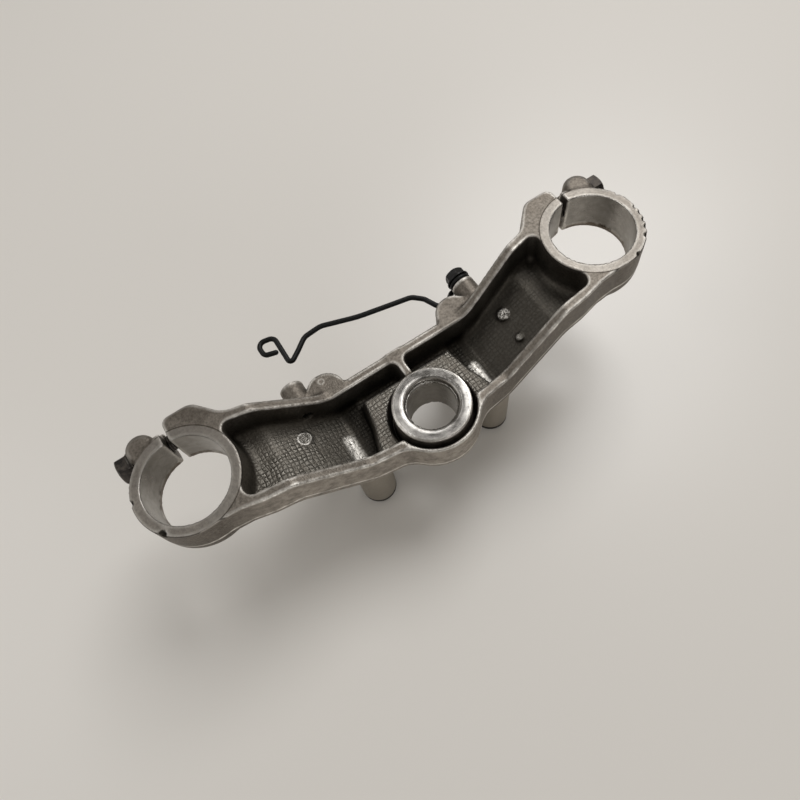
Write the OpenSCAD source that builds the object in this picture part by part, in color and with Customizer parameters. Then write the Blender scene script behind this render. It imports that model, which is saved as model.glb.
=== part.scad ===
// Upper fork yoke of a motorcycle: one aluminium casting with a gull-wing arm on each side of the
// steering stem, a slit clamp for each fork tube at its ends, and four pillars that carry the
// handlebar holders. It lies upside down on the pillars, with its pockets facing up.
// X runs from clamp to clamp, Y points to the front of the machine, Z points out of the pockets.
// The origin is on the steering stem axis, in the flat middle of the yoke's outer face.

/* [Fork clamps] */
// Distance between the centres of the two fork tubes
fork_spacing = 224; // [210:1:240]
// Diameter of the fork tube bores
fork_d = 41; // [36:0.5:43]
// Wall of the clamp rings round the bore
clamp_wall = 4.8; // [4:0.1:6]
// Height of the clamp rings
clamp_h = 24; // [20:0.5:28]
// Width of the slit that lets a clamp close
slit_w = 3; // [2:0.5:4]
// Height of the machined ring face above the cast rim
ring_proud = 0.4; // [0.2:0.1:1]
// Bevel at both ends of the fork bores
bore_bevel = 0.7; // [0.3:0.1:1.2]

/* [Steering stem] */
// Distance from the stem axis forward to the line between the fork tubes
stem_offset = 25; // [22:0.5:30]
// Diameter of the stem bore
stem_d = 24; // [22:0.5:26]
// Diameter of the shallow seat at the mouth of the stem bore
stem_seat_d = 25.6; // [25:0.2:28]
// Depth of that seat
stem_seat_depth = 2.6; // [1:0.2:4]
// Outer diameter of the stem boss
boss_d = 38.4; // [34:0.2:40]
// Height of the stem boss above the rim around it
boss_rise = 2.3; // [0.5:0.1:4]

/* [Casting] */
// Depth of the casting in its middle, from the outer face to the rim
depth = 24; // [20:0.5:28]
// Height that the arms climb from the middle to the clamps
rise = 20; // [12:1:26]
// Distance from the stem axis at which the arms start to climb
slope_start = 38.5; // [34:0.5:44]
// Distance from the stem axis at which the arms are level again
slope_end = 72.8; // [66:0.5:78]
// Thickness of the plate under the pockets
plate_t = 5.5; // [4:0.5:7]
// Thickness of the walls round the pockets
wall_t = 4.3; // [3.5:0.1:5.5]
// Distance from the stem axis forward to the middle of the front wall's outer side
front_y = 35.6; // [34:0.1:38]
// Distance from the stem axis back to the rear wall's outer side, beside the stem boss
rear_y = 11.6; // [10:0.1:13]
// Outer radius of the rear wall where it passes round the stem boss
bulge_r = 23.4; // [22.8:0.1:25]
// Wall of that bulge
bulge_wall = 1.7; // [1.4:0.1:2.4]
// Width of the rib from the front wall to the stem boss
rib_w = 4.6; // [3:0.2:7]
// Height of the raised platform beside the stem boss, above the outer face
platform_z = 16; // [10:0.5:19]

/* [Pillars] */
// Diameter of the pillars
pillar_d = 19; // [16:0.5:21]
// Distance of the pillars' ends from the outer face
pillar_len = 46; // [30:1:60]
// Distance between the left and right pillars
pillar_spacing = 76; // [70:1:84]
// Distance from the stem axis forward to the rear pillars
pillar_rear_y = 3; // [0:0.5:5]
// Distance from the rear pillars forward to the front pillars
pillar_pitch = 33; // [30:0.5:36]
// Diameter of the tapped holes in the pillars' ends
pillar_hole_d = 6.8; // [5:0.1:8.5]
// Depth of those holes
pillar_hole_depth = 25; // [12:1:30]

/* [Clamp bolts] */
// Thread diameter of the clamp bolts
bolt_d = 8; // [6:0.5:8]
// Length of the clamp bolts under the head
bolt_len = 32; // [26:1:33]
// Metal between the clamp bolt and the fork bore
bolt_web = 1.5; // [1:0.1:3]
// Metal in front of the clamp bolt's axis
lug_cover = 6.6; // [5.6:0.1:8]
// Length of the inner lug, from the slit's middle towards the stem
inner_lug = 17; // [15:0.5:20]
// Distance by which the outer lug ends short of the clamp ring's outermost point
lug_inset = 6.3; // [4:0.1:8]
// Step from both faces of the clamp ring down to those of the outer lug
lug_drop = 2.4; // [1.5:0.1:3]

/* [Cable guide] */
// Distance from the stem axis out to each of the two small front bosses
stub_x = 51.8; // [50:0.2:56]
// Diameter of the two small front bosses
stub_d = 12.4; // [10:0.2:14]
// Distance from the stem axis forward to the ends of the small front bosses
stub_end_y = 50; // [47:0.5:53]
// Diameter of the guide's wire
wire_d = 2.8; // [2.2:0.1:3.2]
// Thread diameter of the bolt that holds the guide
guide_bolt_d = 6; // [5:0.5:6]
// Length of that bolt under its head
guide_bolt_len = 16; // [12:1:17]

/* [Hidden] */
$fn = 64;
eps = 0.01;
// A length that reaches through the whole part
far = 400;
// Radial play round the threads and shanks of the bolts
thread_play = 0.05;
shank_play = 0.25;
// Depth left under the tip of the guide's bolt
tip_room = 0.8;
// The fork tubes, the rings round them and the level of their ends
fork_x = fork_spacing / 2;
fork_y = stem_offset;
fork_r = fork_d / 2;
ring_r = fork_r + clamp_wall;
clamp_top = rise + clamp_h;
rim_top = clamp_top - ring_proud;
// Distance by which the slope of the outer face lies further out than the rim's
knee_shift = 3;
// Middle of the clamp bolts
bolt_y = fork_y + fork_r + bolt_web + bolt_d / 2;
bolt_z = rise + clamp_h / 2;
lug_front = bolt_y + lug_cover;
outer_lug = ring_r - lug_inset;
// Ends of the arms' front and rear walls beside the clamp rings
arm_end_x = fork_x - ring_r - 2.7;
front_end_y = fork_y + ring_r - 5.5;
rear_end_y = fork_y - ring_r - 3.3;
front_knee_x = slope_start + 6.5;
// Angles on the clamp ring, as seen from its middle, between which it bounds the pocket
ring_from = 165;
ring_to = 215;
// Half the angle that the bulge covers, as seen from the stem axis
bulge_half = 55;
boss_r = boss_d / 2;
boss_top = depth + boss_rise;
pillar_x = pillar_spacing / 2;
pillar_front_y = pillar_rear_y + pillar_pitch;
stub_z = depth - 5;

function unit(v) = v / norm(v);
function flat(p) = [p[0], p[1]];

// Signed turn from angle a to angle b, between -180 and 180 degrees
function turn(a, b) = let (d = b - a) d > 180 ? d - 360 : d < -180 ? d + 360 : d;

// Points of a round of radius r at corner p, between its neighbours a and b
function round_points(a, p, b, r) =
    r <= 0 || abs(cross(a - p, b - p)) < eps ? [p] :
    let (
        u = unit(a - p),
        w = unit(b - p),
        half = acos(max(-1, min(1, u * w))) / 2,
        c = p + unit(u + w) * r / sin(half),
        s = p + u * r / tan(half),
        e = p + w * r / tan(half),
        from = atan2(s[1] - c[1], s[0] - c[0]),
        sweep = turn(from, atan2(e[1] - c[1], e[0] - c[0])),
        n = max(2, ceil(abs(sweep) / 9))
    )
    [for (i = [0:n]) c + r * [cos(from + sweep * i / n), sin(from + sweep * i / n)]];

// A closed outline from corners [x, y, radius]
function rounded(c) =
    let (n = len(c))
    [for (i = [0:n - 1]) each round_points(flat(c[(i + n - 1) % n]), flat(c[i]), flat(c[(i + 1) % n]), c[i][2])];

// An open line from corners [x, y, radius]
function rounded_line(c) =
    let (n = len(c))
    concat([flat(c[0])],
        [for (i = [1:n - 2]) each round_points(flat(c[i - 1]), flat(c[i]), flat(c[i + 1]), c[i][2])],
        [flat(c[n - 1])]);

// The corners of the other half of a symmetrical outline, in reversed order
function mirrored(c) = [for (i = [len(c) - 1:-1:0]) [-c[i][0], c[i][1], c[i][2]]];

// The corner whose round of radius r is the stretch from angle a to angle b of a circle round m
function arc_corner(m, r, a, b) =
    let (reach = r / cos((b - a) / 2), mid = (a + b) / 2)
    [m[0] + reach * cos(mid), m[1] + reach * sin(mid), r];

// Where the line through p with direction u meets the line through q with direction w
function meet(p, u, q, w) =
    let (t = ((q[0] - p[0]) * w[1] - (q[1] - p[1]) * w[0]) / (u[0] * w[1] - u[1] * w[0]))
    p + t * u;

function on_circle(m, r, a) = m + r * [cos(a), sin(a)];
function tangent(a) = [-sin(a), cos(a)];

// The straight outer lines of the front and rear walls, each as two points
front_line = [[front_knee_x, front_y], [arm_end_x, front_end_y]];
rear_line = [[bulge_r, -rear_y], [arm_end_x + 2, rear_end_y]];

// The same lines moved inwards by the wall
function inward(l, d) = let (u = unit(l[1] - l[0])) [for (p = l) p + d * [-u[1], u[0]]];
front_in = inward(front_line, -wall_t);
rear_in = inward(rear_line, wall_t);

module both_sides() {
    children();
    mirror([1, 0, 0]) children();
}

// Plan of the casting's arms, with the bulge round the stem boss and the inner clamp lugs
module outer_plan() {
    bulge_end = on_circle([0, 0], bulge_r, -90 + bulge_half);
    bulge_root = meet(bulge_end, tangent(-90 + bulge_half), rear_line[0], rear_line[1] - rear_line[0]);
    right = [
        [front_knee_x, front_y, 25],
        [arm_end_x, front_end_y, 12],
        [fork_x - inner_lug, lug_front, 8],
        [fork_x - slit_w / 2, lug_front, 4],
        [fork_x - slit_w / 2, fork_y, 0],
        [fork_x, fork_y, 0],
        [fork_x, fork_y - ring_r + 0.5, 0],
        [fork_x - 15, fork_y - ring_r - 0.7, 12],
        [rear_line[1][0], rear_line[1][1], 20],
        [bulge_root[0], bulge_root[1], 4]
    ];
    polygon(rounded(concat(right, [arc_corner([0, 0], bulge_r, -90 - bulge_half, -90 + bulge_half)],
        mirrored(right))));
}

// Plan of the hollow between the walls, out to the clamp rings
module pocket_plan() {
    r = bulge_r - bulge_wall;
    m = [fork_x, fork_y];
    end_r = ring_r - 0.15;
    front_corner = meet(on_circle(m, end_r, ring_from), tangent(ring_from), front_in[0], front_in[1] - front_in[0]);
    rear_corner = meet(on_circle(m, end_r, ring_to), tangent(ring_to), rear_in[0], rear_in[1] - rear_in[0]);
    bulge_end = on_circle([0, 0], r, -90 + bulge_half);
    bulge_root = meet(bulge_end, tangent(-90 + bulge_half), rear_in[0], rear_in[1] - rear_in[0]);
    right = [
        [front_knee_x - 1, front_y - wall_t, 20],
        [front_corner[0], front_corner[1], 4.5],
        arc_corner(m, end_r, ring_from, ring_to),
        [rear_corner[0], rear_corner[1], 5.5],
        [bulge_root[0], bulge_root[1], 3]
    ];
    polygon(rounded(concat(right, [arc_corner([0, 0], r, -90 - bulge_half, -90 + bulge_half)], mirrored(right))));
}

// Everything between two gull-wing levels, each given by its height in the middle, its height
// at the clamps and the distance by which its slope is moved outwards
module between(low, high) {
    function level(l, side) = [
        [side * (slope_start + l[2]), l[0], 8],
        [side * (slope_end + l[2]), l[1], 8],
        [side * far / 2, l[1], 0]
    ];
    function reversed(c) = [for (i = [len(c) - 1:-1:0]) c[i]];
    rotate([90, 0, 0])
        linear_extrude(far, center = true)
            polygon(rounded(concat(level(low, 1), reversed(level(high, 1)), level(high, -1), reversed(level(low, -1)))));
}

module hollow() {
    intersection() {
        translate([0, 0, -far / 2]) linear_extrude(far) pocket_plan();
        between([plate_t, rise + plate_t, 0], [far / 4, far / 4, 0]);
    }
}

// Lug for the clamp bolt's head, round at its slit side, with a cheek that carries it to the ring
module outer_lug_solid() {
    root_y = fork_y + fork_r + 1;
    slit_side = fork_x + slit_w / 2;
    head_side = fork_x + outer_lug;
    cheek_t = 4;
    cheek_reach = 1.5;
    translate([0, 0, rise + lug_drop]) linear_extrude(clamp_h - 2 * lug_drop)
        polygon(rounded([
            [slit_side, root_y, 0], [head_side, fork_y + ring_r / 2, 0],
            [head_side, lug_front, 2.5], [slit_side, lug_front, 6]
        ]));
    translate([slit_side, root_y, rise])
        cube([cheek_t, bolt_y + cheek_reach - root_y, clamp_h]);
}

// Casting before its pockets and bores are cut
module blank() {
    intersection() {
        translate([0, 0, -far / 2]) linear_extrude(far) outer_plan();
        between([0, rise, knee_shift], [depth, rim_top, 0]);
    }
    both_sides() {
        translate([fork_x, fork_y, rise]) cylinder(r = ring_r, h = clamp_h);
        outer_lug_solid();
        translate([pillar_x, pillar_front_y, -pillar_len]) cylinder(d = pillar_d, h = pillar_len + depth);
        translate([pillar_x, pillar_rear_y, -pillar_len]) cylinder(d = pillar_d, h = pillar_len + plate_t - 0.5);
        translate([stub_x, front_y - 1, stub_z]) rotate([-90, 0, 0]) cylinder(d = stub_d, h = stub_end_y - front_y + 1);
    }
}

// Rib between the front wall and the stem boss, flared where it meets the wall
module rib() {
    flare = 4;
    wall_y = front_y - wall_t;
    linear_extrude(depth) {
        translate([-rib_w / 2, 0]) square([rib_w, wall_y + 1]);
        difference() {
            translate([-rib_w / 2 - flare, wall_y - flare]) square([rib_w + 2 * flare, flare + 1]);
            for (s = [-1, 1]) translate([s * (rib_w / 2 + flare), wall_y - flare]) circle(r = flare + 0.12);
        }
    }
}

// Raised blocks on both sides of the stem boss, with a moat between them and the boss
module platform() {
    moat_r = bulge_r - bulge_wall + 0.3;
    linear_extrude(platform_z) difference() {
        polygon(rounded([
            [25, 24, 3], [28, 10, 30], [32, -rear_y + wall_t / 2, 0],
            [-32, -rear_y + wall_t / 2, 0], [-28, 10, 30], [-25, 24, 3]
        ]));
        circle(r = moat_r);
    }
}

// Round pads left on the sloping pocket floors by the mould, rooted in the plate
module pads() {
    pad_x = (slope_start + slope_end) / 2 + 3;
    floor_z = plate_t + (pad_x - slope_start) * rise / (slope_end - slope_start);
    root = 3.5;
    proud = 1.5;
    for (s = [-1, 1]) translate([s * pad_x, stem_offset - 2, floor_z - root]) cylinder(d = 6.6, h = root + proud);
    translate([pad_x - 1, stem_offset - 17, floor_z - root]) cylinder(d = 4.2, h = root + proud);
}

module fork_bore() {
    translate([fork_x, fork_y, rise - eps]) cylinder(r = fork_r, h = clamp_h + 2 * eps, $fn = 96);
    translate([fork_x, fork_y, rise - eps]) cylinder(r1 = fork_r + bore_bevel, r2 = fork_r, h = bore_bevel, $fn = 96);
    translate([fork_x, fork_y, clamp_top - bore_bevel + eps])
        cylinder(r1 = fork_r, r2 = fork_r + bore_bevel, h = bore_bevel, $fn = 96);
}

module slit() {
    translate([fork_x - slit_w / 2, fork_y + fork_r - 3, rise - 1])
        cube([slit_w, far / 8, clamp_h + 2]);
}

// Clearance hole through the outer lug and tapped hole in the inner lug
module clamp_bolt_hole() {
    translate([fork_x, bolt_y, bolt_z]) rotate([0, 90, 0]) cylinder(d = bolt_d + 2 * shank_play, h = outer_lug + 1);
    translate([fork_x, bolt_y, bolt_z]) rotate([0, -90, 0])
        cylinder(d = bolt_d + 2 * thread_play, h = bolt_len - outer_lug + 2);
}

module stem_bore() {
    translate([0, 0, -1]) cylinder(d = stem_d, h = boss_top + 1);
    translate([0, 0, boss_top - stem_seat_depth]) cylinder(d = stem_seat_d, h = stem_seat_depth + 1);
}

// The tapped hole of a small front boss, as deep as stated
module stub_hole(d, deep) {
    translate([0, stub_end_y + 1, stub_z]) rotate([90, 0, 0]) cylinder(d = d, h = deep + 1);
}

module yoke() {
    color([0.66, 0.65, 0.62]) difference() {
        union() {
            difference() {
                blank();
                hollow();
            }
            intersection() {
                union() {
                    rib();
                    platform();
                    pads();
                }
                translate([0, 0, 1]) linear_extrude(far) outer_plan();
            }
            cylinder(r = boss_r, h = boss_top);
        }
        stem_bore();
        both_sides() {
            fork_bore();
            slit();
            clamp_bolt_hole();
            for (y = [pillar_rear_y, pillar_front_y])
                translate([pillar_x, y, -pillar_len - 1]) cylinder(d = pillar_hole_d, h = pillar_hole_depth + 1);
        }
        // The free one breaks through into the pocket, the other ends past the tip of its bolt
        translate([-stub_x, 0, 0]) stub_hole(guide_bolt_d - 1, stub_end_y - front_y + wall_t + 11);
        translate([stub_x, 0, 0]) stub_hole(guide_bolt_d + 2 * thread_play, guide_bolt_len - wire_d + tip_room);
    }
}

// Bolt with a hexagon head on a round flange, standing head up with its seat at z = 0
module flange_bolt(d, len, across, head_h, flange_d, flange_h) {
    translate([0, 0, -len]) cylinder(d = d, h = len + eps);
    cylinder(d = flange_d, h = flange_h);
    intersection() {
        cylinder(d = across / cos(30), h = head_h, $fn = 6);
        cylinder(d1 = across + 2 * head_h, d2 = across - 0.4, h = head_h);
    }
}

module clamp_bolt_right() {
    color([0.2, 0.2, 0.2]) translate([fork_x + outer_lug, bolt_y, bolt_z]) rotate([0, 90, 0])
        flange_bolt(bolt_d, bolt_len, bolt_d * 1.5, bolt_d * 0.95, bolt_d * 1.7, 1.6);
}

module clamp_bolt_left() {
    mirror([1, 0, 0]) clamp_bolt_right();
}

module guide_bolt() {
    color([0.12, 0.12, 0.12]) translate([stub_x, stub_end_y + wire_d, stub_z]) rotate([-90, 0, 0])
        flange_bolt(guide_bolt_d, guide_bolt_len, guide_bolt_d * 1.6, guide_bolt_d * 0.9, guide_bolt_d * 2.1, 1.4);
}

// Route of the guide's wire: an eye round the bolt, then a bow in one level plane that ends in
// a kink and an open hook
wire_r = wire_d / 2;
eye_r = guide_bolt_d / 2 + thread_play + 0.15 + wire_r;
eye_y = stub_end_y + wire_r;
wire_z = stub_z - eye_r;
eye_step = 15;
bow = [
    [stub_x, eye_y, 0], [45.5, 50.4, 4], [42, 48.3, 4], [36, 48.3, 3], [32.4, 56.8, 6], [27.5, 61.8, 6],
    [-2.1, 68.4, 60], [-21.3, 75.3, 9], [-31.5, 74.6, 7], [-38.2, 69.4, 9], [-45.2, 64.6, 1.7],
    [-45, 84, 3.4], [-54.6, 86, 3.6], [-54.2, 77.2, 2.8], [-48.3, 75.4, 0]
];
// The eye starts beside its own tail and turns round to its lowest point
eye_points = [for (a = [-60:eye_step:270 - eye_step]) [stub_x + eye_r * cos(a), eye_y, stub_z + eye_r * sin(a)]];
bow_points = [for (p = rounded_line(bow)) [p[0], p[1], wire_z]];
route = concat(eye_points, bow_points);

// First cross direction of the wire's section at point i: forward in the eye, level in the bow
function cross_dir(i) =
    i < len(eye_points) ? [0, 1, 0] :
    let (n = len(route), t = unit(route[min(i + 1, n - 1)] - route[max(i - 1, len(eye_points))]))
    [t[1], -t[0], 0];

module cable_guide() {
    sides = 10;
    n = len(route);
    points = [for (i = [0:n - 1])
        let (
            t = unit(route[min(i + 1, n - 1)] - route[max(i - 1, 0)]),
            u = cross_dir(i),
            w = unit(cross(t, u))
        )
        for (k = [0:sides - 1]) route[i] + wire_r * (cos(k * 360 / sides) * u + sin(k * 360 / sides) * w)];
    skin = [for (i = [0:n - 2]) for (k = [0:sides - 1])
        [i * sides + k, i * sides + (k + 1) % sides, (i + 1) * sides + (k + 1) % sides, (i + 1) * sides + k]];
    start = [[for (k = [sides - 1:-1:0]) k]];
    end = [[for (k = [0:sides - 1]) (n - 1) * sides + k]];
    color([0.1, 0.1, 0.1]) polyhedron(points, concat(skin, start, end), convexity = 6);
}

yoke();
clamp_bolt_left();
clamp_bolt_right();
cable_guide();
guide_bolt();
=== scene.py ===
import math

import bpy
import numpy as np
from mathutils import Matrix, Vector


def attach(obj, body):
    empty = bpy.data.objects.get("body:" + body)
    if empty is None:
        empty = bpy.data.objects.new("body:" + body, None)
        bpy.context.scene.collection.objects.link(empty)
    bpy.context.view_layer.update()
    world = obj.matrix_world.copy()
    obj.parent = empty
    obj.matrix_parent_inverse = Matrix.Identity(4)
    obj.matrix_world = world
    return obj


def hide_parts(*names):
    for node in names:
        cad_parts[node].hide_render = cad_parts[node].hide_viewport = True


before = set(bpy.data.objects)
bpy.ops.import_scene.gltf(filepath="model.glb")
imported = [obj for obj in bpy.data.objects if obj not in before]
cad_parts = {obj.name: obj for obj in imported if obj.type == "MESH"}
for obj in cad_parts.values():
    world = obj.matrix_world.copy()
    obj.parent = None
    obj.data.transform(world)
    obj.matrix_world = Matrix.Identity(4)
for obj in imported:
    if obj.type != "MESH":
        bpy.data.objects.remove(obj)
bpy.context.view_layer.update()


# Camera. The photo was taken from above the rear of the yoke with a wide lens; the pose comes from
# the clamp bores, the pillars and the symmetry of the casting.
MM = 0.001
CAMERA_TURN = (2.5980577, -0.78903334, 0.03089016)
CAMERA_PLACE = (-55.0, -110.5, 308.0)
CAMERA_LENS, SENSOR_WIDTH = 29.322, 36.0


def camera_from(turn, place_mm, lens):
    """Camera whose view axes are the columns of the rotation by `turn` (axis times angle, world
    to camera with y down and z forward), at place_mm."""
    angle = float(np.linalg.norm(turn))
    to_cam = Matrix.Rotation(angle, 3, Vector(turn) / angle)
    axes = Matrix((to_cam[0], -to_cam[1], -to_cam[2])).transposed()
    data = bpy.data.cameras.new("camera")
    data.lens = lens
    data.sensor_width = SENSOR_WIDTH
    data.clip_start, data.clip_end = 0.01, 20.0
    cam = bpy.data.objects.new("camera", data)
    cam.matrix_world = Matrix.Translation(Vector(place_mm) * MM) @ axes.to_4x4()
    bpy.context.collection.objects.link(cam)
    bpy.context.scene.camera = cam


camera_from(CAMERA_TURN, CAMERA_PLACE, CAMERA_LENS)


# Yoke. One sand-cast aluminium piece with machined bores, ring faces and pillar ends. It is drawn
# as one signed distance field, so that every cast corner gets a fillet and every bore stays round,
# and the field's zero surface becomes the mesh.
def rounded(corners):
    """Outline through corners (x, y, radius), each corner replaced by its tangent arc."""
    out = []
    n = len(corners)
    for i, (x, y, r) in enumerate(corners):
        p = np.array((x, y), float)
        if r <= 0:
            out.append(p)
            continue
        u = np.array(corners[i - 1][:2]) - p
        w = np.array(corners[(i + 1) % n][:2]) - p
        u, w = u / np.linalg.norm(u), w / np.linalg.norm(w)
        half = math.acos(max(-1.0, min(1.0, float(u @ w)))) / 2
        if half > math.pi / 2 - 1e-3:
            out.append(p)
            continue
        c = p + (u + w) / np.linalg.norm(u + w) * r / math.sin(half)
        s, e = p + u * r / math.tan(half) - c, p + w * r / math.tan(half) - c
        a = math.atan2(s[1], s[0])
        sweep = (math.atan2(e[1], e[0]) - a + math.pi) % (2 * math.pi) - math.pi
        t = a + sweep * np.linspace(0, 1, max(3, int(abs(sweep) / 0.16) + 2))
        out.extend(c + r * np.stack((np.cos(t), np.sin(t)), 1))
    return np.array(out)


def two_sided(right):
    """Closed outline from its right half, mirrored in x = 0."""
    return right + [(-x, y, r) for x, y, r in reversed(right)]


def outline(points, x, y):
    """Signed distance to a closed polygon, negative inside: the least distance to an edge, with
    the sign of the winding parity."""
    x, y = np.broadcast_arrays(x, y)
    best = np.full(x.shape, 1e18)
    inside = np.zeros(x.shape, bool)
    for (ax, ay), (bx, by) in zip(points, np.roll(points, -1, 0)):
        ex, ey = bx - ax, by - ay
        px, py = x - ax, y - ay
        t = np.clip((px * ex + py * ey) / (ex * ex + ey * ey), 0, 1)
        best = np.minimum(best, (px - t * ex) ** 2 + (py - t * ey) ** 2)
        if ay != by:
            inside ^= ((ay > y) != (by > y)) & (px < ex * py / ey)
    return np.where(inside, -1, 1) * np.sqrt(best)


def join(a, b, k):
    """Smooth union: the smaller distance, lowered where the two are within k of each other."""
    return np.minimum(a, b) - np.maximum(k - np.abs(a - b), 0) ** 2 / (4 * k)


def both(a, b, k):
    """Smooth intersection: the larger distance, raised where the two are within k."""
    return -join(-a, -b, k)


def cut(a, b, k):
    """Shape a without shape b, with the new edge rounded over k."""
    return both(a, -b, k)


def round_bar(along, a, b, lo, hi, r, k):
    """Cylinder of radius r about the line a = b = 0, from lo to hi along it, ends rounded over k."""
    return both(np.sqrt(a * a + b * b) - r, np.abs(along - (lo + hi) / 2) - (hi - lo) / 2, k)


def block(x, y, z, lo, hi, k):
    """Box between two corners, edges rounded over k."""
    d = [np.abs(v - (l + h) / 2) - (h - l) / 2 for v, l, h in zip((x, y, z), lo, hi)]
    return both(both(d[0], d[1], k), d[2], k)


def cone(off, high):
    """Distance to a cone of 45 degrees that widens as high falls: the sum of the distance off its
    wall and the height, times the cosine of 45 degrees, nearly."""
    return (off + high) * 0.7


def ease(value, start, end):
    """Zero at start and one at end, straight between them and held outside them."""
    return np.clip((value - start) / (end - start), 0, 1)


# Gull wing: the rim and the face are level in the middle, slope up, and are level at the rings
RIM, RISE, SLOPE_A, SLOPE_B = 24.0, 20.0, 38.5, 72.8
BEND_R, FAR = 9.0, 200.0


def gull(x, z, middle, shift):
    """Signed distance above a gull-wing level, positive above it."""
    top = middle + RISE
    line = rounded(two_sided([
        (FAR, -FAR, 0), (FAR, top, 0), (SLOPE_B + shift, top, BEND_R), (SLOPE_A + shift, middle, BEND_R)]))
    return outline(line, x, z)


def under_rim(x, z):
    """Depth in mm below the rim."""
    return RIM + RISE * ease(x, SLOPE_A, SLOPE_B) - z


# Plan lines, as corners (x, y, radius) in mm of the right half
FORK_X, FORK_Y, FORK_R, RING_R = 112.0, 25.0, 20.5, 25.3


def bow(m, r, a, b):
    """Corner whose arc of radius r is the stretch from angle a to b of a circle round m."""
    reach, mid = r / math.cos(math.radians(b - a) / 2), math.radians(a + b) / 2
    return m[0] + reach * math.cos(mid), m[1] + reach * math.sin(mid), r


arms_line = rounded(two_sided([
    (45, 35.6, 25), (84, 44.8, 12), (95, 57.6, 8), (110.5, 57.6, 4), (110.5, 25, 0), (112, 25, 0),
    (112, 0.2, 0), (97, -1.0, 12), (86, -3.6, 20), (21.3, -11.9, 4)]))
pocket_line = rounded(two_sided([
    (44, 31.3, 20), (90.1, 41.7, 4.5), bow((FORK_X, FORK_Y), RING_R - 0.7, 165, 215),
    (97.2, 2.1, 5.5), (22.0, -7.4, 3)]))
blocks_line = rounded(two_sided([(33, -11, 0), (31.5, -2, 0), (27.6, 10, 0), (25, 24, 0)]))

# Draft in mm per mm, depth of the mould's parting below the rim, and how far the walls swell there
DRAFT, PARTING, SWELL = 0.03, 17.0, 0.55
FACE_T, FACE_FILLET, RIM_EDGE = 5.5, 5.5, 0.9
BULGE_R, BOSS_R, BOSS_TOP = 23.4, 19.2, 26.3
RING_BASE, RING_TOP = 20.0, 44.0


def plan_distances(x, y):
    """Distances in plan from the stem's axis and from the nearer fork tube's axis."""
    return np.sqrt(x * x + y * y), np.sqrt((np.abs(x) - FORK_X) ** 2 + (y - FORK_Y) ** 2)


# Outer lug of each clamp ring, and the bolt's line through it
KNOB_X, KNOB_Y, KNOB_R, LUG_FACE = 124.0, 51.0, 7.3, 131.0
BOLT_Y, BOLT_Z, SLEEVE_R = 51.0, 32.0, 5.7


def outer_lug(ax, y, z):
    """A knob as high as the ring, a web to the ring, a sleeve round the bolt, and a cheek beside
    the slit."""
    knob = both(round_bar(z, ax - KNOB_X, y - KNOB_Y, 21.5, 43.6, KNOB_R, 4), ax - LUG_FACE, 0.8)
    web = block(ax, y, z, (113, 40, 22.5), (127.5, 49.5, 41.5), 2)
    sleeve = round_bar(ax, y - BOLT_Y, z - BOLT_Z, FORK_X, 125, SLEEVE_R, 1)
    cheek = block(ax, y, z, (112, 44, 20.5), (117.2, 52.2, 43.6), 1.5)
    return join(join(join(knob, web, 2.5), sleeve, 1.5), cheek, 1.5)


def pocket(ax, y, z, stem):
    """Space in the arms and round the boss, wider toward the rim, down to a floor that follows the
    face, with a wide fillet at its foot."""
    moat = both(stem - BULGE_R + 1.7, y + 6, 1)
    space = join(outline(pocket_line, ax, y) + 0.6, moat, 1) + DRAFT * under_rim(ax, z)
    return both(space, -gull(ax, z, FACE_T, 0), FACE_FILLET)


RIB_HALF, RIB_FRONT, RIB_REAR = 2.0, 34.0, 4.0
BLOCKS_TOP, MOAT_R = 16.0, 22.0


def rib(ax, y, z):
    """Wall along the yoke's middle, thicker toward its foot."""
    sides = both(ax - RIB_HALF - 0.04 * (RIM - z), y - RIB_FRONT, 1)
    return both(both(sides, RIB_REAR - y, 1), 1 - z, 1)


def raised_blocks(x, y, z, stem):
    """Blocks on both sides of the boss with sloping flanks, parted from it by a moat."""
    flanks = outline(blocks_line, x, y) - 0.22 * np.clip(BLOCKS_TOP - z, 0, 12)
    blocks = both(both(flanks, z - BLOCKS_TOP, 2.2), 1 - z, 1)
    moat = both(stem - MOAT_R - 0.12 * (z - BLOCKS_TOP), FACE_T - z, 2)
    return cut(blocks, moat, 1.6)


# Pillars as (y, top), the small front bosses, and the pads left by the mould on the pocket floors
# as (x, y, radius, height, edge, fillet)
PILLARS = ((36.0, RIM), (3.0, 1.0))
PILLAR_X, PILLAR_R, PILLAR_END = 38.0, 9.85, -46.0
STUB_X, STUB_Z, STUB_R, STUB_END = 51.8, 19.0, 6.2, 50.0
PAD_X, PAD_Y, PAD_R = 58.8, 23.0, 3.3
PADS = ((PAD_X, PAD_Y, PAD_R, 1.4, 1.2, 1.6), (-PAD_X, PAD_Y, PAD_R, 0.3, 0.6, 1.0),
        (57.8, 8.0, 2.1, 1.0, 1.0, 1.2))


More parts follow.
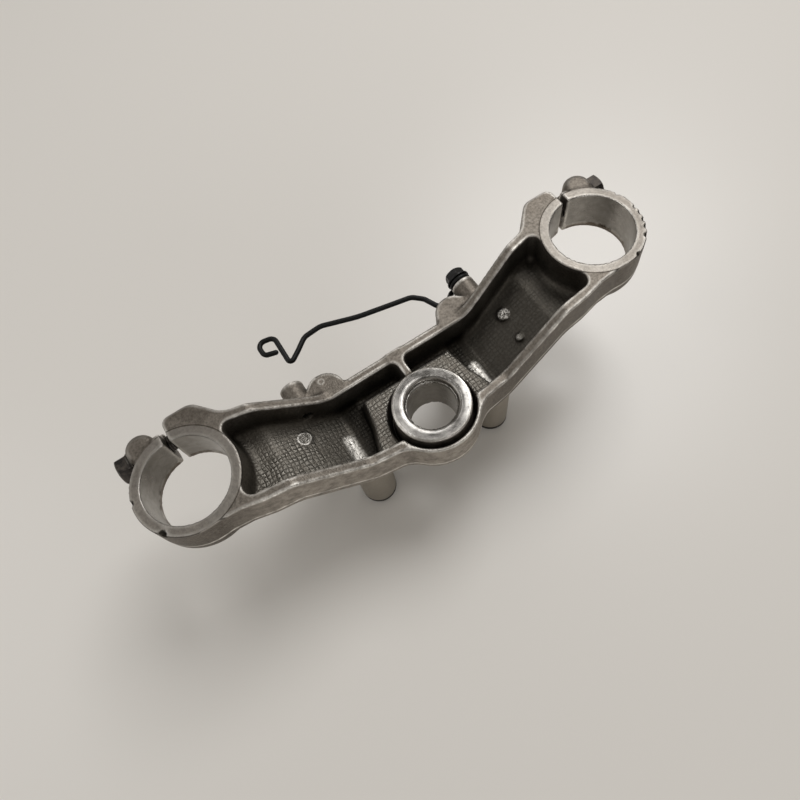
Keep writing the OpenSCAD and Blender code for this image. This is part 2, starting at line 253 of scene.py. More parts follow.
def casting(x, y, z):
    """Signed distance in mm to the casting as the mould gives it, before any machining."""
    ax = np.abs(x)
    stem, ring = plan_distances(x, y)
    rim = gull(ax, z, RIM, 0)
    draft = DRAFT * np.abs(under_rim(ax, z) - PARTING) - SWELL
    plan = join(outline(arms_line, ax, y), stem - BULGE_R, 5) + draft
    blank = both(plan, -gull(ax, z, 0, 3), FACE_FILLET)
    d = both(blank, rim, RIM_EDGE)
    # Clamp rings, as high as the rim at the ends of the arms
    ring_wall = both(ring - RING_R - 0.2 + draft, RING_BASE - z, 3)
    d = join(d, both(ring_wall, z - RING_TOP, 0.5), 0.5)
    d = join(d, outer_lug(ax, y, z), 2)
    # Pillars and small front bosses
    for py, top in PILLARS:
        taper = PILLAR_R + 0.006 * (z - 10)
        d = join(d, round_bar(z, ax - PILLAR_X, y - py, PILLAR_END, top, taper, 0.9), 1.8)
    d = join(d, round_bar(y, ax - STUB_X, z - STUB_Z, 33, STUB_END, STUB_R, 0.8), 2.2)
    # Pockets, and what stands in them
    d = cut(d, pocket(ax, y, z, stem), RIM_EDGE)
    d = both(join(d, rib(ax, y, z), 5), rim, RIM_EDGE)
    d = join(d, both(raised_blocks(x, y, z, stem), blank + 1.2, 1), 2)
    boss_r = BOSS_R + 0.1 + 0.02 * (BOSS_TOP - z)
    d = join(d, round_bar(z, x, y, 0, BOSS_TOP, boss_r, 1.0), 1.0)
    floor_z = FACE_T + RISE * ease(PAD_X, SLOPE_A, SLOPE_B)
    for px, py, r, height, edge, fillet in PADS:
        d = join(d, round_bar(z, x - px, y - py, 10, floor_z + height, r, edge), fillet)
    return d


# Machining: slit, bolt holes as (from, to, radius), stem bore and seat of the stem nut's washer,
# threaded holes in the pillars, guide holes as (side, from, radius), and chips as (x, y, radius)
SLIT_HALF, LIP_Z, LIP = 1.5, 23.8, 0.3
BOLT_HOLES = ((FORK_X, 140.0, 4.25), (97.0, 113.0, 4.05))
STEM_R, SEAT_R, SEAT_Z = 12.0, 12.8, 23.7
TAP_R, TAP_TOP = 3.4, -21.0
GUIDE_HOLES = ((-1, 20.0, 2.5), (1, 36.0, 3.05))
KNOCK_Z = 43.8
KNOCKS = ((-131.0, 8.0, 2.1), (-137.2, 28.6, 1.3), (137.5, 23.4, 1.3), (136.8, 19.1, 1.2),
          (135.4, 14.8, 1.3), (133.4, 11.1, 1.2), (130.1, 7.0, 1.3), (120.0, 0.8, 1.2),
          (135.5, 34.9, 1.0))


def from_knock(x, y, z, kx, ky):
    """Distance from a chip's middle on the rings' upper edge, with heights counted 0.7 times."""
    return np.sqrt((x - kx) ** 2 + (y - ky) ** 2 + (0.7 * (z - KNOCK_Z)) ** 2)


def machined(x, y, z):
    """Signed distance in mm to the finished yoke: the casting, turned, bored, slit and tapped."""
    ax = np.abs(x)
    stem, ring = plan_distances(x, y)
    d = casting(x, y, z)
    # Fork bores: a lip in the lower part, and a chamfer at each end
    bore = join(ring - FORK_R + LIP * (z < LIP_Z), cone(ring - FORK_R, RING_TOP - 0.5 - z), 0.1)
    bore = join(bore, np.maximum(cone(ring - FORK_R, z - RING_BASE - 0.7), 16 - z), 0.1)
    d = cut(d, bore, 0.25)
    d = cut(d, block(ax, y, z, (FORK_X - SLIT_HALF, 40, 10), (FORK_X + SLIT_HALF, 90, 60), 0.2), 0.5)
    for start, end, r in BOLT_HOLES:
        d = cut(d, round_bar(ax, y - BOLT_Y, z - BOLT_Z, start, end, r, 0.2), 0.5)
    seat = both(stem - SEAT_R, SEAT_Z - z, 0.5)
    hole = join(join(stem - STEM_R, seat, 0.4), cone(stem - SEAT_R, BOSS_TOP - 1.1 - z), 0.2)
    d = cut(d, hole, 0.4)
    for py, _top in PILLARS:
        tap = round_bar(z, ax - PILLAR_X, y - py, -60, TAP_TOP, TAP_R, 0.5)
        off = np.sqrt((ax - PILLAR_X) ** 2 + (y - py) ** 2) - TAP_R
        d = cut(d, join(tap, cone(off, z - PILLAR_END - 0.8), 0.2), 0.4)
    for side, start, r in GUIDE_HOLES:
        d = cut(d, round_bar(y, x - side * STUB_X, z - STUB_Z, start, 60, r, 0.2), 0.5)
    for kx, ky, r in KNOCKS:
        d = cut(d, from_knock(x, y, z, kx, ky) - r, 0.4)
    return d


# From a field to a mesh
CORNERS = [(i, j, k) for i in (0, 1) for j in (0, 1) for k in (0, 1)]


def at_corner(grid, corner):
    """The grid's values at one corner of every cell."""
    i, j, k = corner
    nx, ny, nz = grid.shape
    return grid[i:nx - 1 + i, j:ny - 1 + j, k:nz - 1 + k]


def crossed_cells(value):
    """Cells that the surface crosses, each with the mean of its edge crossings in cell units."""
    count = sum(at_corner(value < 0, c).astype(np.int8) for c in CORNERS)
    cells = np.argwhere((count > 0) & (count < 8))
    ends = np.stack([at_corner(value, c)[tuple(cells.T)] for c in CORNERS], 1)
    total, crossings = np.zeros((len(cells), 3)), np.zeros(len(cells))
    for a in range(8):
        for b in range(a + 1, 8):
            step = np.subtract(CORNERS[b], CORNERS[a])
            if np.abs(step).sum() != 1:
                continue
            va, vb = ends[:, a], ends[:, b]
            hit = (va < 0) != (vb < 0)
            t = np.where(hit, va / np.where(hit, va - vb, 1), 0)
            total += hit[:, None] * (np.array(CORNERS[a]) + t[:, None] * step)
            crossings += hit
    return cells, total / crossings[:, None]


def crossed_edges(solid, number):
    """One quad round each grid edge that changes sign, facing out, from the cells' numbers."""
    quads = []
    for axis in range(3):
        o1, o2 = [o for o in range(3) if o != axis]
        e1, e2 = np.eye(3, dtype=int)[o1], np.eye(3, dtype=int)[o2]
        first, second = [slice(None)] * 3, [slice(None)] * 3
        first[axis], second[axis] = slice(None, -1), slice(1, None)
        s0, s1 = solid[tuple(first)], solid[tuple(second)]
        for flip in (False, True):
            at = np.argwhere((s0 & ~s1) if flip else (~s0 & s1))
            at = at[(at[:, o1] > 0) & (at[:, o2] > 0)]
            q = np.stack([number[tuple((at - e).T)] for e in (e1 * 0, e1, e1 + e2, e2)], 1)
            quads.append(q if flip != (axis == 1) else q[:, ::-1])
    return np.concatenate(quads)


def slopes(field, p, h):
    """A field's gradient, and the sum of its second differences, over steps of h each way."""
    gradient, second = [], -6 * field(*p.T)
    for e in np.eye(3) * h:
        hi, lo = field(*(p + e).T), field(*(p - e).T)
        gradient.append((hi - lo) / (2 * h))
        second = second + hi + lo
    return np.stack(gradient, 1), second / (h * h)


def spread(value, quads):
    """Each vertex's value averaged with those of its neighbours along the quads' edges."""
    total, count = value.copy(), np.ones(len(value))
    for a, b in ((0, 1), (1, 2), (2, 3), (3, 0)):
        total += np.bincount(quads[:, a], value[quads[:, b]], len(value))
        count += np.bincount(quads[:, a], minlength=len(value))
    return total / count


def skin(field, low, high, pitch):
    """Mesh of a field's zero surface: one vertex in each grid cell that the surface crosses, then
    three steps along the gradient by minus the distance over the gradient's square. The curvature
    is the sum of the second differences. Returns points, quads, normals and curvature."""
    axes = [np.arange(l, h + pitch, pitch) for l, h in zip(low, high)]
    value = field(axes[0][:, None, None], axes[1][None, :, None], axes[2][None, None, :])
    cells, mean = crossed_cells(value)
    number = np.full([n - 1 for n in value.shape], -1, np.int64)
    number[tuple(cells.T)] = np.arange(len(cells))
    quads = crossed_edges(value < 0, number)
    p = (cells + mean) * pitch + np.array([a[0] for a in axes])
    for _ in range(3):
        g, _bend = slopes(field, p, 0.2 * pitch)
        move = field(*p.T)[:, None] * g / np.maximum((g * g).sum(1), 0.2)[:, None]
        p = p - np.clip(move, -0.5 * pitch, 0.5 * pitch)
    g, _bend = slopes(field, p, 0.35 * pitch)
    _gradient, curve = slopes(field, p, 0.5 * pitch)
    curve = spread(spread(curve, quads), quads)
    return p, quads, g / np.linalg.norm(g, axis=1)[:, None], curve


def mesh_object(name, points_mm, faces, normals=None, marks=None):
    """Object of a closed mesh; normals are per vertex, and marks are named numbers per vertex."""
    me = bpy.data.meshes.new(name)
    points = np.ascontiguousarray(np.asarray(points_mm) * MM, np.float32)
    sizes = np.array([len(f) for f in faces])
    loops = np.concatenate(faces) if isinstance(faces, list) else faces.ravel()
    starts = np.concatenate(([0], np.cumsum(sizes)[:-1]))
    me.vertices.add(len(points))
    me.vertices.foreach_set("co", points.ravel())
    me.loops.add(len(loops))
    me.loops.foreach_set("vertex_index", loops.astype(np.int32))
    me.polygons.add(len(sizes))
    me.polygons.foreach_set("loop_start", starts.astype(np.int32))
    me.update(calc_edges=True)
    me.polygons.foreach_set("use_smooth", np.ones(len(sizes), bool))
    for key, mark in (marks or {}).items():
        me.attributes.new(key, "FLOAT", "POINT").data.foreach_set("value", mark.astype(np.float32))
    if normals is not None:
        me.normals_split_custom_set_from_vertices(np.asarray(normals, np.float32))
    ob = bpy.data.objects.new(name, me)
    bpy.context.collection.objects.link(ob)
    return ob


# Surface of the yoke, with where it lies in the pockets and on their floors, and where painted highlights,
# painted shade and painted light go on it
YOKE_LOW, YOKE_HIGH = (-138.8, -25.6, -47.6), (138.9, 59.4, 46.0)
yoke_pitch = 0.98
points, quads, normals, bend = skin(machined, YOKE_LOW, YOKE_HIGH, yoke_pitch)
px, py, pz = points.T
pax = np.abs(px)
facing_up = normals[:, 2]
depth = under_rim(pax, pz)
inside_at = (outline(pocket_line, pax, py) < 1.0) & (facing_up > -0.5)
deep_at = inside_at * ease(depth, 1, 11)
floor_at = inside_at * ease(facing_up, 0.55, 0.8) * (depth > 5)
# The pattern's squares show most on the blocks and, in the left pocket, toward its near end
left_pocket = px < -56
hatch_at = floor_at * np.where(pax < 34, 1.0, np.where(px < 0, 0.45, 0.3))
hatch_at = np.where(left_pocket, floor_at * np.maximum(ease(py, 34, 16), 0.25), hatch_at)


def streak_along(x, y0, y1, half):
    """One on the line x from y0 to y1 in plan, falling to zero beside it over about half."""
    return np.clip(1.3 - np.hypot(px - x, py - np.clip(py, y0, y1)) / half, 0, 1)


# Painted highlight streaks in the valleys beside the boss, and painted shade round them, on the floors and
# in the chips on the rings' edges
streak_highlights = np.maximum(streak_along(-41.2, 3, 14.0, 2.6), 0.9 * streak_along(33.4, 0, 13.0, 2.3))
streak_highlight_at = floor_at * streak_highlights * (pz < 12)
valley = inside_at * ease(pz, 13, 9) * ease(pax, 26, 28) * ease(pax, 40.5, 36.5)
right_floor = floor_at * ease(px, 28, 32)
left_foot = floor_at * ease(px, -62, -50) * (px < -30)
shade_at = np.maximum(np.maximum(0.85 * valley, 0.55 * right_floor), 0.4 * left_foot)
shade_at = shade_at * (1 - streak_highlight_at)
for kx, ky, r in KNOCKS:
    shade_at = np.maximum(shade_at, ease(from_knock(px, py, pz, kx, ky), r + 0.35, r - 0.05))
# Painted light on the near wall of the left arm and the middle: a lighter grey where it faces the near
# side
near_wall = ~inside_at * np.clip(-1.4 * normals[:, 1], 0, 1) * (depth > 1) * (pz > -2)
wall_at = near_wall * ease(px, 30, 5) * ease(px, -108, -82)
yoke = mesh_object("yoke_casting", points, quads, normals,
                   {"curve": bend, "deep": deep_at, "hatch": hatch_at, "streak_highlight": streak_highlight_at,
                    "shade": shade_at, "wall": wall_at})


# Shader nodes
def linear(colour):
    """Linear red, green, blue and alpha of an sRGB hex colour."""
    c = np.array([int(colour[i:i + 2], 16) / 255 for i in (1, 3, 5)])
    return (*np.where(c <= 0.04045, c / 12.92, ((c + 0.055) / 1.055) ** 2.4), 1.0)


def material(name, colour, roughness, metallic=0.0):
    """Principled material with these constants. Returns material, tree and shader node."""
    m = bpy.data.materials.new(name)
    m.use_nodes = True
    shader = m.node_tree.nodes["Principled BSDF"]
    shader.inputs["Base Color"].default_value = linear(colour)
    shader.inputs["Roughness"].default_value = roughness
    shader.inputs["Metallic"].default_value = metallic
    return m, m.node_tree, shader


def add(tree, kind, props=None, **inputs):
    """New node of a kind. Props set its fields, and inputs set or link its sockets by name, with
    _ for a space or a number after s for an index."""
    node = tree.nodes.new(kind)
    for key, value in (props or {}).items():
        setattr(node, key, value)
    for key, value in inputs.items():
        numbered = key[0] == "s" and key[1:].isdigit()
        socket = node.inputs[int(key[1:]) if numbered else key.replace("_", " ")]
        if isinstance(value, bpy.types.NodeSocket):
            tree.links.new(value, socket)
        else:
            socket.default_value = value
    return node


def calc(tree, operation, first, *others):
    """Maths operation on one value, or on the first and each of the others in turn."""
    if not others:
        return add(tree, "ShaderNodeMath", {"operation": operation}, s0=first).outputs[0]
    for other in others:
        first = add(tree, "ShaderNodeMath", {"operation": operation}, s0=first, s1=other).outputs[0]
    return first


def vector_calc(tree, operation, *vectors):
    """Vector maths node on these vectors."""
    sockets = {f"s{i}": vector for i, vector in enumerate(vectors)}
    return add(tree, "ShaderNodeVectorMath", {"operation": operation}, **sockets)


def every(tree, *factors):
    """Product of factors: one only where every factor is one."""
    return calc(tree, "MULTIPLY", *factors)


def ramp(tree, value, a, b, lo=0.0, hi=1.0):
    """Straight ramp of a value: lo at a, hi at b, held outside them."""
    props = {"clamp": True}
    return add(tree, "ShaderNodeMapRange", props, s0=value, s1=a, s2=b, s3=lo, s4=hi).outputs[0]


def above(tree, value, limit, soft=0.08):
    """One where the value is over the limit, zero under it, with a soft edge."""
    return ramp(tree, value, limit - soft, limit + soft)


def below(tree, value, limit, soft=0.08):
    """One where the value is under the limit, zero over it, with a soft edge."""
    return ramp(tree, value, limit + soft, limit - soft)


def blend_colour(tree, factor, a, b):
    """Colour from a to b by a factor; each is a socket or an sRGB hex colour."""
    a, b = (linear(c) if isinstance(c, str) else c for c in (a, b))
    return add(tree, "ShaderNodeMix", {"data_type": "RGBA"}, s0=factor, s6=a, s7=b).outputs[2]


def coats(tree, colour, *layers):
    """A colour under layers of (factor, colour), each laid over what is below it."""
    for factor, layer in layers:
        colour = blend_colour(tree, factor, colour, layer)
    return colour


def object_place(tree):
    """Place on the object in metres."""
    return add(tree, "ShaderNodeTexCoord").outputs["Object"]


def attribute(tree, name):
    """Number that the mesh holds per vertex under this name."""
    return add(tree, "ShaderNodeAttribute", {"attribute_name": name}).outputs["Fac"]


def noise(tree, place, scale, detail=3.0, rough=0.55):
    """Noise texture's value at a place, from zero to one."""
    node = add(tree, "ShaderNodeTexNoise", Vector=place, Scale=scale, Detail=detail, Roughness=rough)
    return node.outputs[0]


def bump(tree, height, strength, distance):
    """Normal bent by a height, for the shader's normal."""
    node = add(tree, "ShaderNodeBump", Strength=strength, Distance=distance, Height=height)
    return node.outputs[0]


def distance_in_plan(tree, flat, x, y):
    """Distance in mm from a point in plan; flat is the place in mm with no height."""
    return vector_calc(tree, "DISTANCE", flat, (x, y, 0.0)).outputs["Value"]


def ring_mark(tree, flat, x, y, r):
    """One on a circle of radius r round a point in plan, falling to zero 0.7 mm from it."""
    off = calc(tree, "SUBTRACT", distance_in_plan(tree, flat, x, y), r)
    return ramp(tree, calc(tree, "ABSOLUTE", off), 0.7, 0.2)


# Metal of the yoke: places in mm, distances in plan, and four sizes of noise
cast_alloy, tree, shader = material("weathered_cast_aluminium", "#7d766e", 0.5, 1.0)
place = object_place(tree)
curve, deep, hatch, streak_highlight, shade, wall = (
    attribute(tree, name) for name in ("curve", "deep", "hatch", "streak_highlight", "shade", "wall"))
place_mm = vector_calc(tree, "MULTIPLY", place, (1000.0, 1000.0, 1000.0)).outputs[0]
x_mm, y_mm, z_mm = add(tree, "ShaderNodeSeparateXYZ", Vector=place_mm).outputs
wide = calc(tree, "ABSOLUTE", x_mm)
flat = vector_calc(tree, "MULTIPLY", place_mm, (1.0, 1.0, 0.0)).outputs[0]
folded = vector_calc(tree, "ABSOLUTE", flat).outputs[0]
ring_off = distance_in_plan(tree, folded, FORK_X, FORK_Y)
stem_off = distance_in_plan(tree, flat, 0.0, 0.0)
blotch = noise(tree, place, 60, 5, 0.65)
mottle = noise(tree, place, 260, 4, 0.6)
grain = noise(tree, place, 900, 4)
fine = noise(tree, place, 2600, 2)

# Where a cutter has been: bores, the boss, pillar ends, the small bosses' ends and the bolts' seats
boss_level = above(tree, z_mm, BOSS_TOP - 0.4, 0.1)
boss_turned = every(tree, below(tree, stem_off, BOSS_R + 0.1), boss_level)
stub_faces = every(tree, above(tree, y_mm, STUB_END - 0.3, 0.1), below(tree, wide, 60, 0.1),
                   below(tree, z_mm, 27, 0.1))
bolt_seats = every(tree, above(tree, wide, LUG_FACE - 0.3, 0.1), above(tree, y_mm, 43, 0.1))
ring_faces = every(tree, below(tree, ring_off, RING_R - 0.2),
                   above(tree, z_mm, RING_TOP - 0.25, 0.08), 0.4)
turned = calc(tree, "MAXIMUM", below(tree, ring_off, FORK_R + 0.5), below(tree, stem_off, 13.1),
              boss_turned, below(tree, z_mm, PILLAR_END + 0.4, 0.1), stub_faces, bolt_seats, ring_faces)

# Small squares left by the pattern: grooves along and across, bent by noise
SQUARE, SQUARE_BEND = 2.1, 2.8
wobble = add(tree, "ShaderNodeTexNoise", Vector=place, Scale=140.0, Detail=2.0).outputs["Color"]
shift = (SQUARE_BEND * MM, SQUARE_BEND * MM, 0.0)
bent = vector_calc(tree, "MULTIPLY_ADD", wobble, shift, place).outputs[0]
bent = add(tree, "ShaderNodeSeparateXYZ", Vector=bent).outputs
grooves = [calc(tree, "ABSOLUTE", calc(tree, "SINE", every(tree, v, math.pi / (SQUARE * MM))))
           for v in bent[:2]]
squares = calc(tree, "POWER", calc(tree, "MINIMUM", *grooves), 0.6)
squares = every(tree, squares, ramp(tree, mottle, 0.34, 0.62, 0.1, 1.3), hatch)

# Thin fin where the two halves of the mould met
fin_level = ramp(tree, wide, SLOPE_A, SLOPE_B, RIM - PARTING, RIM - PARTING + RISE)
fin = ramp(tree, calc(tree, "ABSOLUTE", calc(tree, "SUBTRACT", fin_level, z_mm)), 0.9, 0.3)
fin = every(tree, fin, calc(tree, "SUBTRACT", 1.0, deep), calc(tree, "SUBTRACT", 1.0, turned),
            ramp(tree, mottle, 0.35, 0.6, 0.35, 0.95), ramp(tree, y_mm, 20, 45, 1.0, 0.35))

# Round marks on the floors, and speckle on the two pads
speckle = noise(tree, place, 1300, 2)
left_pad = every(tree, ramp(tree, distance_in_plan(tree, flat, -PAD_X, PAD_Y), 3.0, 2.4),
                 ramp(tree, speckle, 0.48, 0.56))
right_pad = every(tree, ramp(tree, distance_in_plan(tree, flat, PAD_X, PAD_Y), 3.4, 2.8),
                  ramp(tree, speckle, 0.42, 0.56))
small_ring = every(tree, ring_mark(tree, flat, -37.8, 41.8, 1.4), 0.3)
marks = calc(tree, "MAXIMUM", ring_mark(tree, flat, -PAD_X, PAD_Y, 3.2), small_ring, left_pad,
             right_pad)
marks = every(tree, marks, ramp(tree, z_mm, 0.0, 2.0))

# Skin of the casting: brown grey with dark pits, painted shade deeper in the pockets, lighter squares,
# painted light on the near wall, deep painted shade in the valleys, and painted light on the pillars
skin_colour = coats(
    tree, blend_colour(tree, ramp(tree, blotch, 0.35, 0.68), "#6c655d", "#8b847b"),
    (every(tree, ramp(tree, grain, 0.35, 0.7), 0.65), "#45403a"),
    # painted shade, darker with depth in the pockets
    (every(tree, deep, 0.5), "#4c4a44"),
    (every(tree, squares, 0.65), "#98948c"),
    # painted light, a lighter grey on the near wall
    (every(tree, wall, ramp(tree, mottle, 0.34, 0.64, 0.25, 0.85)), "#b4aca2"),
    # painted shade in the valleys, on the floors and in the chips
    (shade, "#15130f"),
    # painted light, a lighter grey on the pillars below the casting
    (below(tree, z_mm, -2, 2), "#a19a8f"))

# Bare metal: the boss's dull end, bright patches that the stem nut's washer rubbed on it, brightened only
# on the lit sides as painted highlights, and the brown lip in the bores
boss_end = every(tree, below(tree, stem_off, BOSS_R - 0.9), boss_level)
seat_rub_and_highlight = every(tree, below(tree, stem_off, 15.2, 0.5), above(tree, z_mm, 21.5, 0.4),
               ramp(tree, x_mm, 4, -8), ramp(tree, mottle, 0.34, 0.6, 0.35, 1.0))
face_rub_and_highlight = every(tree, above(tree, stem_off, 16.0, 0.6), boss_end, ramp(tree, x_mm, 3, 12),
                ramp(tree, y_mm, 5, -3), ramp(tree, blotch, 0.35, 0.55, 0.3, 1.0))
lip = every(tree, below(tree, ring_off, FORK_R + 0.2), below(tree, z_mm, LIP_Z - 0.1, 0.1))
bare = coats(
    tree, blend_colour(tree, ramp(tree, mottle, 0.3, 0.7), "#85817b", "#9c9892"),
    (boss_end, blend_colour(tree, ramp(tree, blotch, 0.4, 0.58), "#454340", "#8a8783")),
    (calc(tree, "MAXIMUM", seat_rub_and_highlight, face_rub_and_highlight), "#d0cdc8"),
    (lip, "#6e655b"))

# Wear and painted highlights: bright edges, partly wear and partly painted highlight, less in the pockets
# and on the rings; the fin's bright line as a painted highlight; the marks; and the painted highlight
# streaks
patchy = ramp(tree, noise(tree, place, 45, 2), 0.38, 0.6, 0.4, 1.0)
on_ring = every(tree, below(tree, ring_off, RING_R + 0.4), above(tree, z_mm, RING_TOP - 2, 0.5))
edges = every(tree, ramp(tree, curve, 0.22, 0.75), patchy, ramp(tree, grain, 0.3, 0.55, 0.4, 1.0),
              ramp(tree, deep, 0, 1, 1.0, 0.2), ramp(tree, on_ring, 0, 1, 1.0, 0.35))
broken_streak_highlight = every(tree, streak_highlight, ramp(tree, noise(tree, place, 800, 2), 0.32, 0.5))
wear_and_highlights = calc(tree, "MAXIMUM", edges, fin, every(tree, marks, 0.7), broken_streak_highlight)

# Painted shade: a dark line at the foot of the step where the rings' faces end and in the hollow corners;
# and a painted contact shadow at the pillars' ends
line_off = calc(tree, "ABSOLUTE", calc(tree, "SUBTRACT", ring_off, RING_R + 0.25))
ring_step_shade = every(tree, below(tree, line_off, 0.22, 0.15), above(tree, z_mm, RING_TOP - 1.2, 0.2), 0.75,
                  above(tree, distance_in_plan(tree, folded, KNOB_X, KNOB_Y), 8.2, 0.3))
colour = coats(
    tree, blend_colour(tree, turned, skin_colour, bare),
    # wear and painted highlights
    (wear_and_highlights, "#e3dfd8"),
    # painted shade at the foot of the rings' step
    (ring_step_shade, "#26221e"),
    # painted shade in the hollow corners
    (every(tree, ramp(tree, curve, -0.1, -0.5), 0.6), "#2c2925"),
    # painted contact shadow at the pillars' ends
    (below(tree, z_mm, PILLAR_END + 3.4, 0.4), "#14110e"))
rough = calc(tree, "ADD", ramp(tree, turned, 0, 1, 0.48, 0.3), ramp(tree, blotch, 0.3, 0.7, -0.06, 0.1))

# Height for the bump: the skin's grain, the lathe's rings, squares, fin and marks
lathe = add(tree, "ShaderNodeTexNoise", {"noise_dimensions": "1D"},
            W=calc(tree, "MINIMUM", stem_off, ring_off), Scale=4.0, Detail=2.0).outputs[0]
sandy = calc(tree, "ADD", every(tree, grain, 0.8), every(tree, fine, 0.3))
height = calc(tree, "ADD", every(tree, sandy, ramp(tree, turned, 0, 1, 1.0, 0.15)),
              every(tree, lathe, turned, 0.35), every(tree, squares, 1.3), fin, every(tree, marks, 0.8))
tree.links.new(colour, shader.inputs["Base Color"])
tree.links.new(rough, shader.inputs["Roughness"])
tree.links.new(bump(tree, height, 0.6, 0.4 * MM), shader.inputs["Normal"])
yoke.data.materials.append(cast_alloy)
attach(yoke, "root")
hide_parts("yoke")


# Clamp bolts. Dark steel M8 bolts with a hexagon head forged on a round flange; each screws through
# the outer lug into the inner lug and draws the slit together.
SIN_60 = math.sin(math.radians(60))


def flange_bolt(length, shank, across, head, flange, flange_t, thread_from):
    """Field of a bolt along +Z with its seat at z = 0: hexagon with a coned top, flange, shank, and
    a thread whose ridges climb one pitch a turn."""
    def field(x, y, z):
        """Signed distance in mm to the bolt, negative inside."""
        r = np.sqrt(x * x + y * y)
        lead = shank * 0.156
        phase = (z / lead + np.arctan2(y, x) / (2 * np.pi)) % 1
        ridge = 0.55 * lead * (np.abs(phase - 0.5) * 2 - 0.4) * (z < -thread_from)
        stem = both(both(r - shank / 2 + np.maximum(ridge, 0) * 0.5, z - 1, 0.2), -length - z, 1.0)
        slanted = np.maximum(np.abs(0.5 * x + SIN_60 * y), np.abs(0.5 * x - SIN_60 * y))
        hexagon = np.maximum(np.abs(x), slanted)
        hexagon = both(both(hexagon - across / 2, z - head, 0.4), -z, 0.2)
        hexagon = both(hexagon, (r - across / 2 - 0.2 + 1.6 * (z - head + 0.3)) * 0.53, 0.3)
        plate = both(both(r - flange / 2, -z, 0.3), (z - flange_t + 0.25 * (r - across / 2)) * 0.97, 0.5)
        dish = round_bar(z, x, y, head - 0.5, head + 2, across / 2 - 2.2, 0.6)
        return join(stem, cut(join(hexagon, plate, 0.6), dish, 0.5), 0.4)
    return field


dark_steel, tree, shader = material("oxidised_dark_steel", "#3b3734", 0.45, 0.9)
spots = noise(tree, object_place(tree), 350, 4, 0.6)
edges = every(tree, ramp(tree, attribute(tree, "curve"), 0.6, 2.0), 0.6)
colour = coats(tree, blend_colour(tree, ramp(tree, spots, 0.4, 0.7), "#2d2a28", "#56504a"),
               (edges, "#8f8a83"))
tree.links.new(colour, shader.inputs["Base Color"])
tree.links.new(ramp(tree, spots, 0.3, 0.7, 0.36, 0.6), shader.inputs["Roughness"])
tree.links.new(bump(tree, spots, 0.3, 0.2 * MM), shader.inputs["Normal"])


def place_bolt(name, field, low, high, pitch, turn, at, node, finish):
    """Skins a bolt's field, turns it from +Z to its own axes and puts it at a point in mm."""
    p, q, n, c = skin(field, low, high, pitch)
    rot = np.array(turn, float)
    ob = mesh_object(name, p @ rot.T + np.array(at), q, n @ rot.T, {"curve": c})
    ob.data.materials.append(finish)
    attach(ob, "root")
    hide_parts(node)


clamp_field = flange_bolt(length=32, shank=8, across=12, head=7.6, flange=13.6, flange_t=1.8,
                          thread_from=12)
clamp_pitch = 0.3
for side, name in ((-1, "clamp_bolt_left"), (1, "clamp_bolt_right")):
    place_bolt(name + "_steel", clamp_field, (-7.2, -8, -32.6), (7.2, 8, 8.2), clamp_pitch,
               ((0, 0, side), (0, 1, 0), (-side, 0, 0)), (side * LUG_FACE, BOLT_Y, BOLT_Z), name,
               dark_steel)


# Cable guide. One bent steel wire, coated black: an eye round the guide bolt, a long level bow
# before the yoke, a sharp kink and an open hook at its end.
def tube(path, radius, sides):
    """Round tube along a path: rings of vertices in the planes across the mean of the two next
    pieces, turned as little as possible from one to the next, closed by domes."""
    path = np.asarray(path, float)
    t = np.gradient(path, axis=0)
    t /= np.linalg.norm(t, axis=1)[:, None]
    u = np.zeros_like(t)
    u[0] = np.cross(t[0], (0.3, 0.5, 0.8))
    u[0] /= np.linalg.norm(u[0])
    for i in range(1, len(t)):
        u[i] = u[i - 1] - t[i] * (u[i - 1] @ t[i])
        u[i] /= np.linalg.norm(u[i])
    w = np.cross(t, u)
    a = np.linspace(0, 2 * np.pi, sides, endpoint=False)
    dome = np.radians((20, 45, 70))
    centre = np.concatenate([path[:1] - t[:1] * radius * np.sin(d) for d in dome[::-1]] + [path]
                            + [path[-1:] + t[-1:] * radius * np.sin(d) for d in dome])
    size = np.concatenate([np.cos(dome[::-1]), np.ones(len(path)), np.cos(dome)]) * radius
    uu = np.concatenate([u[:1]] * 3 + [u] + [u[-1:]] * 3)
    ww = np.concatenate([w[:1]] * 3 + [w] + [w[-1:]] * 3)
    spokes = np.cos(a)[None, :, None] * uu[:, None] + np.sin(a)[None, :, None] * ww[:, None]
    rings = centre[:, None] + size[:, None, None] * spokes
    n = len(centre)
    i, k = np.meshgrid(np.arange(n - 1), np.arange(sides), indexing="ij")
    quad = np.stack((i * sides + k, i * sides + (k + 1) % sides, (i + 1) * sides + (k + 1) % sides,
                     (i + 1) * sides + k), -1).reshape(-1, 4)
    faces = list(quad) + [np.arange(sides)[::-1], (n - 1) * sides + np.arange(sides)]
    return rings.reshape(-1, 3), faces


# The eye turns round the guide bolt before the right front boss, and the rest runs level from its
# lowest point, through corners (x, y, radius)
WIRE_R, EYE_R, EYE_Y = 1.4, 4.6, 51.5
WIRE_LINE = [(STUB_X, EYE_Y, 0), (45.9, 51.3, 2), (42, 48.3, 4), (36, 48.3, 3), (32.4, 56.8, 6),
             (27.5, 61.8, 6), (-2.1, 68.4, 60), (-21.3, 75.3, 9), (-31.5, 74.6, 7), (-38.2, 69.4, 9),
             (-45.2, 64.6, 1.7), (-45.0, 84.0, 3.4), (-54.6, 86.0, 3.6), (-54.2, 77.2, 2.8),
             (-48.3, 75.4, 0)]
turns = np.radians(np.arange(-60, 256, 6))
eye_path = np.stack((STUB_X + EYE_R * np.cos(turns), np.full(len(turns), EYE_Y),
                     STUB_Z + EYE_R * np.sin(turns)), 1)
level_line = rounded(WIRE_LINE)
level_path = np.column_stack((level_line, np.full(len(level_line), STUB_Z - EYE_R)))
points, faces = tube(np.concatenate((eye_path, level_path)), WIRE_R, 16)
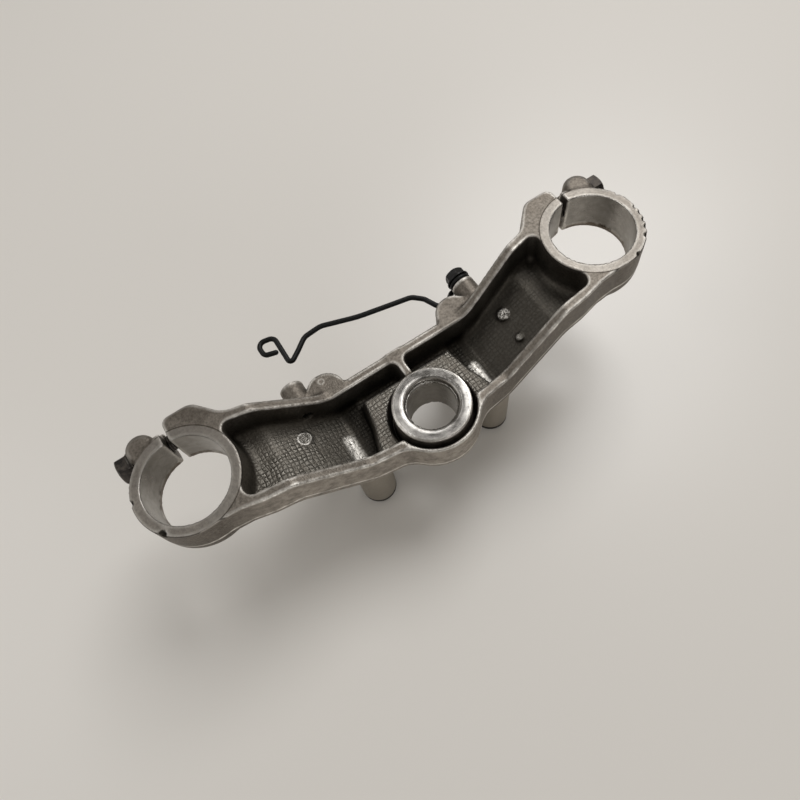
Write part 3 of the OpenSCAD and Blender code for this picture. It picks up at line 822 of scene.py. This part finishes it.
black_wire, tree, shader = material("black_coated_wire", "#080807", 0.42)
shader.inputs["Specular IOR Level"].default_value = 0.25
scuffs = noise(tree, object_place(tree), 300, 3)
tree.links.new(ramp(tree, scuffs, 0.3, 0.7, 0.36, 0.55), shader.inputs["Roughness"])
guide = mesh_object("cable_guide_wire", points, faces)
guide.data.materials.append(black_wire)
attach(guide, "root")
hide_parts("cable_guide")


# Guide bolt. A small black steel bolt with a flange head; it clamps the wire's eye on the end of
# the right front boss.
GUIDE_SEAT_Y = 52.8
black_bolt, tree, shader = material("black_zinc_bolt", "#0d0c0b", 0.45, 0.4)
scuffs = noise(tree, object_place(tree), 500, 3)
tree.links.new(ramp(tree, scuffs, 0.3, 0.7, 0.32, 0.55), shader.inputs["Roughness"])
guide_field = flange_bolt(length=16, shank=6, across=9.6, head=5.4, flange=12.6, flange_t=1.5,
                          thread_from=6)
guide_pitch = 0.28
place_bolt("guide_bolt_steel", guide_field, (-6.7, -6.7, -16.6), (6.7, 6.7, 6.0), guide_pitch,
           ((1, 0, 0), (0, 0, 1), (0, -1, 0)), (STUB_X, GUIDE_SEAT_Y, STUB_Z), "guide_bolt",
           black_bolt)


# Floor and soft light. A pale satin table under the pillars' ends, lit by one large softbox from
# the upper right, a weak one from the left and a low one from the near side.
FLOOR_HALF = 4.0
floor_corners = [(side * FLOOR_HALF, end * FLOOR_HALF, 0)
                 for side, end in ((-1, -1), (1, -1), (1, 1), (-1, 1))]
pale_table, tree, shader = material("pale_table", "#dcd8d2", 0.33)
plate = bpy.data.meshes.new("floor")
plate.from_pydata(floor_corners, [], [(0, 1, 2, 3)])
floor = bpy.data.objects.new("floor", plate)
floor.location = (0, 0, PILLAR_END * MM)
bpy.context.collection.objects.link(floor)
plate.materials.append(pale_table)


def softbox(name, place, size, power):
    """Round area light at a place in metres that faces the yoke's middle."""
    data = bpy.data.lights.new(name, "AREA")
    data.shape, data.size, data.energy = "DISK", size, power
    ob = bpy.data.objects.new(name, data)
    ob.location = place
    ob.rotation_mode = "QUATERNION"
    ob.rotation_quaternion = (-Vector(place)).to_track_quat("-Z", "Y")
    bpy.context.collection.objects.link(ob)


softbox("key_light", (0.75, 0.52, 1.31), size=0.9, power=13)
softbox("fill_light", (-0.9, 0.5, 0.9), size=1.0, power=3)
softbox("low_front_light", (-0.25, -1.3, 0.2), size=0.9, power=4.6)

scene = bpy.context.scene
world = bpy.data.worlds.new("room")
scene.world = world
world.use_nodes = True
background = world.node_tree.nodes["Background"]
background.inputs["Color"].default_value = linear("#e8e4de")
background.inputs["Strength"].default_value = 0.4
scene.render.engine = "CYCLES"
scene.cycles.samples = 96
scene.cycles.use_denoising = True
scene.view_settings.view_transform = "Standard"
scene.view_settings.look = "None"
